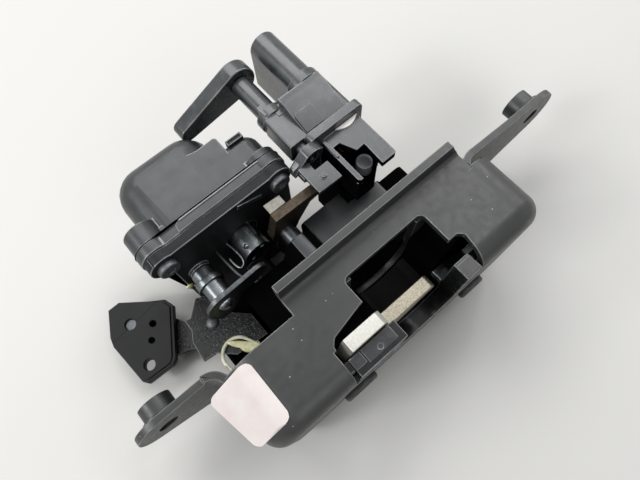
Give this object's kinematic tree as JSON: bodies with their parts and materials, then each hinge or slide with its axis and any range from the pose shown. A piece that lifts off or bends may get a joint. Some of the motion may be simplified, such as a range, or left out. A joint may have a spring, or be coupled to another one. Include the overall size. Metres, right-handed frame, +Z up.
{
  "type": "tailgate latch",
  "caption": "Power tailgate latch: deep black steel tray with two bolt ears, striker mouth with fork and pawl, geared cinch motor case, release motor with manual lever and cable paddle.",
  "frame": {"origin": "midway between the two ear holes, in the front plane of the ears", "axes": "+X along the ears towards the release motor, +Z up out of the striker mouth, -Y towards the panel that the tray goes through"},
  "size_m": [0.18, 0.0965, 0.0644],
  "materials": {
    "black_ecoat": "satin electrocoat",
    "sticker": "matt paper film",
    "gloss_black_plastic": "moulded gloss",
    "black_plastic": "moulded matt",
    "grey_black_plastic": "moulded satin",
    "bumper_rubber": "matt",
    "zinc_steel": "zinc plated",
    "fork_steel": "bare with a white zinc end",
    "brown_steel": "browned",
    "dark_steel": "black oxide",
    "spring_wire": "drawn wire",
    "greased_wire": "greased",
    "wrinkle_black": "wrinkle coat",
    "black_screw": "black zinc",
    "brass_yellow": "plain",
    "white_plastic": "natural moulded"
  },
  "bodies": {
    "base": {"base_plate": "black_ecoat", "ear_collar_left": "black_ecoat", "ear_collar_right": "black_ecoat", "origin_label": "sticker", "striker_guide": "gloss_black_plastic", "latch_housing": "black_plastic", "striker_bumper": "bumper_rubber", "back_plate": "black_ecoat", "fork_pivot": "zinc_steel", "fork_spring": "spring_wire", "pawl_pivot": "zinc_steel", "pawl_spring": "spring_wire", "carrier": "black_plastic", "side_bracket": "wrinkle_black", "bracket_rivet": "zinc_steel", "paddle_rivet": "zinc_steel", "wire_spring": "greased_wire", "gear_case": "black_plastic", "gear_cover": "grey_black_plastic", "case_screws": "black_screw", "cinch_motor": "zinc_steel", "release_pivot": "zinc_steel", "release_housing": "grey_black_plastic", "release_motor": "zinc_steel", "connector_pins": "brass_yellow", "cover_plug": "grey_black_plastic"},
    "fork": {"fork_bolt": "fork_steel"},
    "pawl_body": {"pawl": "zinc_steel"},
    "release_lever": {"release_blade": "brown_steel", "release_tongue": "zinc_steel", "release_tab": "gloss_black_plastic"},
    "manual_release": {"manual_lever": "gloss_black_plastic", "manual_shaft": "zinc_steel", "crank_clip": "gloss_black_plastic"},
    "cinch_lever": {"cinch_shaft": "zinc_steel", "cinch_hub": "gloss_black_plastic", "cinch_arm": "dark_steel"},
    "output_shaft": {"output_wheel": "white_plastic", "output_hub": "gloss_black_plastic"},
    "worm_body": {"worm": "brass_yellow"},
    "paddle": {"paddle_lever": "grey_black_plastic"}
  },
  "joints": [
    {"name": "fork_close", "type": "hinge", "parent": "base", "child": "fork", "pos_m": [-0.0298, -0.0205, 0.001], "axis": [0, 1, 0], "range_deg": [0, 38], "stiffness_Nm_per_rad": 0.05, "springref_deg": -17.19},
    {"name": "pawl_lift", "type": "hinge", "parent": "base", "child": "pawl_body", "pos_m": [0.0215, -0.0205, -0.011], "axis": [0, 1, 0], "range_deg": [0, 15], "stiffness_Nm_per_rad": 0.05, "springref_deg": -11.46},
    {"name": "manual_turn", "type": "hinge", "parent": "base", "child": "manual_release", "pos_m": [-0.0003, 0.045, 0.0298], "axis": [0, 1, 0], "range_deg": [0, 35], "stiffness_Nm_per_rad": 0.03, "springref_deg": -17.19},
    {"name": "release_turn", "type": "hinge", "parent": "base", "child": "release_lever", "pos_m": [-0.0175, 0.0204, 0.016], "axis": [0, 1, 0], "range_deg": [-14, 0]},
    {"name": "cinch_turn", "type": "hinge", "parent": "base", "child": "cinch_lever", "pos_m": [-0.0448, 0.02, 0.0115], "axis": [0, 1, 0], "range_deg": [0, 40]},
    {"name": "output_turn", "type": "hinge", "parent": "base", "child": "output_shaft", "pos_m": [-0.0278, 0.036, 0.0115], "axis": [0, 1, 0], "range_deg": [-96, 0]},
    {"name": "worm_spin", "type": "hinge", "parent": "base", "child": "worm_body", "pos_m": [-0.0398, 0.042, 0.0115], "axis": [0, 0, 1], "range_deg": [0, 1728]},
    {"name": "paddle_turn", "type": "hinge", "parent": "base", "child": "paddle", "pos_m": [-0.0756, 0.0397, -0.019], "axis": [0, 0, 1], "range_deg": [-20, 20]}
  ],
  "couplings": [
    {"joint": "release_turn", "follows": "manual_turn", "ratio": -0.4},
    {"joint": "output_turn", "follows": "cinch_turn", "ratio": -2.4},
    {"joint": "worm_spin", "follows": "cinch_turn", "ratio": 43.2}
  ]
}
